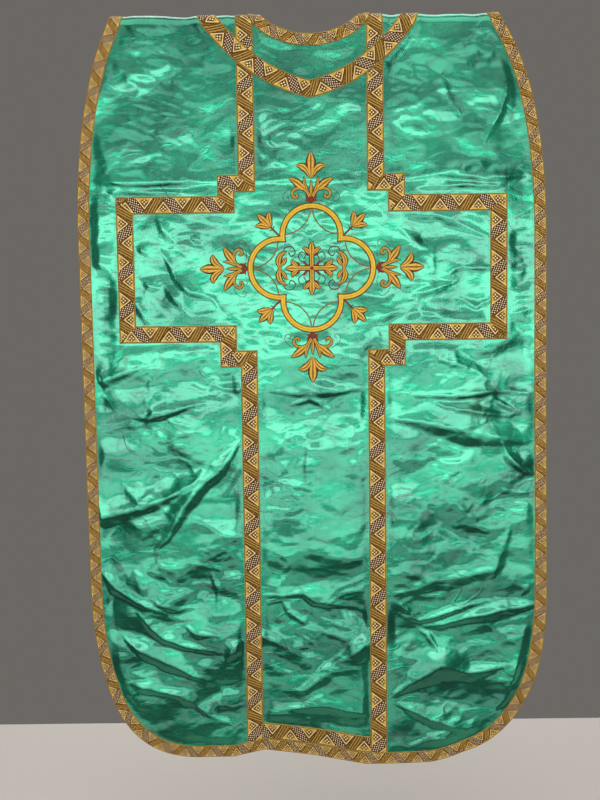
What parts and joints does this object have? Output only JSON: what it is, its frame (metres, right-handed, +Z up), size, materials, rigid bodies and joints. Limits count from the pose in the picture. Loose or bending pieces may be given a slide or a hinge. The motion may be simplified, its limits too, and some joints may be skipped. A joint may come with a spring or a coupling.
{
  "type": "chasuble",
  "caption": "Fiddleback chasuble in green silk satin, with a cross of woven galloon and gold embroidery on the back, hanging over a rail by its shoulder fold.",
  "frame": {"origin": "midway between the shoulders on the underside of the shoulder fold, where the cloth rests on the top of the rail", "axes": "+Z up, +X to the right as the decorated back panel is seen, -Y out of the back panel towards the viewer"},
  "size_m": [0.7, 0.0372, 1.1356],
  "materials": {
    "satin": "green silk satin, glossy across the weft, creased and a little stained",
    "lining": "plain gold-yellow cotton sateen lining, matt",
    "canvas": "stiff unbleached linen canvas interlining",
    "wide_galloon": "26 mm woven galloon in gold thread, with maroon lattice bars, white florets and corded edges",
    "edge_galloon": "18 mm woven galloon of the same pattern, more worn",
    "embroidery": "padded satin stitch in golden silk, with brown outlines and veins"
  },
  "bodies": {
    "back": {"back_lining": "lining", "back_interlining": "canvas", "cross_panel": "satin", "back_field_left": "satin", "back_field_right": "satin", "back_column_galloon_left": "wide_galloon", "back_column_galloon_right": "wide_galloon", "back_foot_galloon": "wide_galloon", "back_collar_galloon": "wide_galloon", "back_neck_galloon": "edge_galloon", "back_edge_galloon": "edge_galloon", "quatrefoil_ring": "embroidery", "centre_cross": "embroidery", "fleur_top": "embroidery", "fleur_left": "embroidery", "fleur_bottom": "embroidery", "fleur_right": "embroidery", "bud_top_left": "embroidery", "bud_bottom_left": "embroidery", "bud_bottom_right": "embroidery", "bud_top_right": "embroidery"},
    "front": {"front_lining": "lining", "front_interlining": "canvas", "front_column_panel": "satin", "front_field_left": "satin", "front_field_right": "satin", "front_column_galloon_left": "wide_galloon", "front_column_galloon_right": "wide_galloon", "front_foot_galloon": "wide_galloon", "front_collar_galloon": "wide_galloon", "front_neck_galloon": "edge_galloon", "front_edge_galloon": "edge_galloon"}
  },
  "joints": [
    {"name": "front_swing", "type": "hinge", "parent": "back", "child": "front", "pos_m": [0, 0.0187, -0.04515], "axis": [1, 0, 0], "range_deg": [0, 170]}
  ]
}
